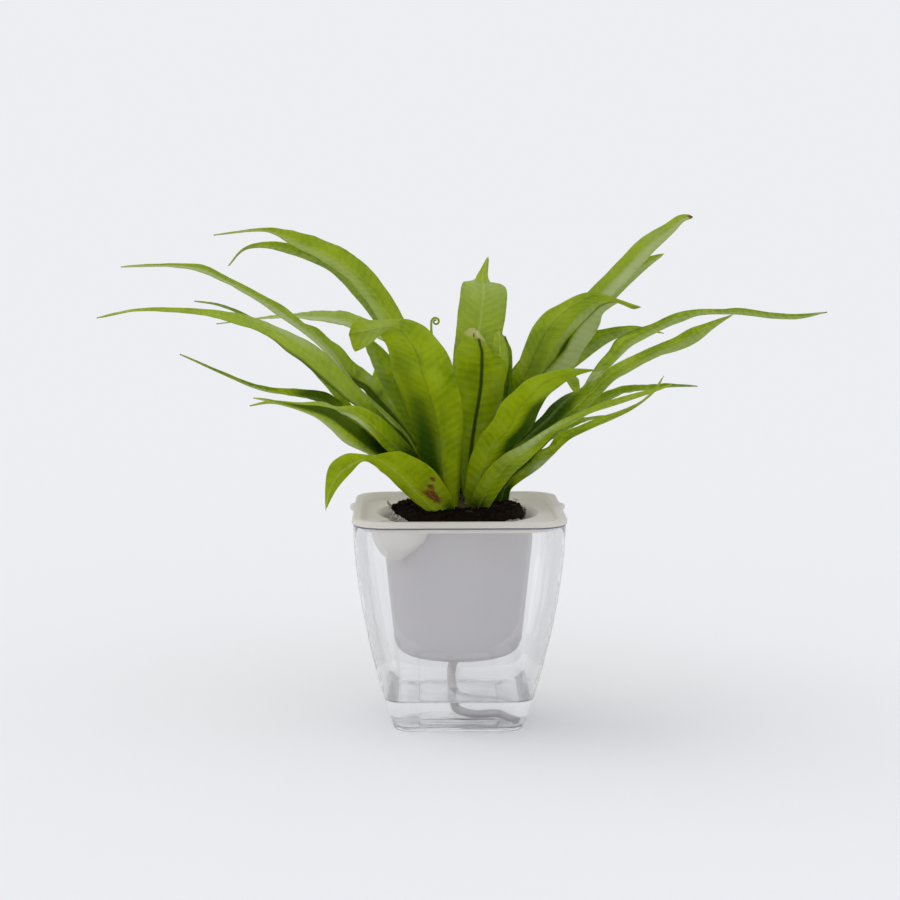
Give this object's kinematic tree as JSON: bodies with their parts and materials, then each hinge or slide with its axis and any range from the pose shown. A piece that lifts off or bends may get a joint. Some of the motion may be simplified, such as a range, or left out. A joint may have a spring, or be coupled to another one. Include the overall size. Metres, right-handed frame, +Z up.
{
  "type": "potted birds nest fern",
  "caption": "Young bird's nest fern in a square self-watering pot: clear vessel with water, white inner pot, cotton wick, peat ball and arching strap fronds.",
  "frame": {"origin": "middle of the vessel's foot, on the surface it stands on", "axes": "+Z up; -Y is the side with the fill chute at its left corner, which the picture shows; +X to the right of it"},
  "size_m": [0.4586, 0.2717, 0.3164],
  "materials": {
    "clear_plastic": "clear, polished",
    "white_plastic": "satin white moulding",
    "water": "still, clear",
    "cotton": "damp twisted cotton",
    "peat": "dark crumbly peat",
    "clear_film": "crumpled clear film",
    "crown_scale": "dark brown scales",
    "leaf": "glossy, leathery green",
    "young_leaf": "soft yellow green"
  },
  "bodies": {
    "root": {"outer_vessel": "clear_plastic", "inner_pot": "white_plastic", "water": "water", "wick": "cotton", "root_ball": "peat", "root_wrap": "clear_film", "crown": "crown_scale", "frond_left_1": "leaf", "frond_left_2": "leaf", "frond_left_3": "leaf", "frond_left_4": "leaf", "frond_left_5": "leaf", "frond_left_6": "leaf", "frond_left_7": "leaf", "frond_left_8": "leaf", "frond_left_9": "leaf", "frond_left_10": "leaf", "frond_left_11": "leaf", "frond_left_12": "leaf", "frond_front_1": "leaf", "frond_front_2": "leaf", "frond_front_3": "leaf", "frond_front_4": "leaf", "frond_right_1": "leaf", "frond_right_2": "leaf", "frond_right_3": "leaf", "frond_right_4": "leaf", "frond_right_5": "leaf", "frond_right_6": "leaf", "frond_right_7": "leaf", "frond_right_8": "leaf", "frond_right_9": "leaf", "frond_back_1": "leaf", "frond_back_2": "leaf", "frond_back_3": "leaf", "frond_back_4": "leaf", "frond_back_5": "leaf", "frond_back_6": "leaf", "young_frond_1": "young_leaf", "young_frond_2": "young_leaf", "crozier": "young_leaf"}
  },
  "joints": []
}
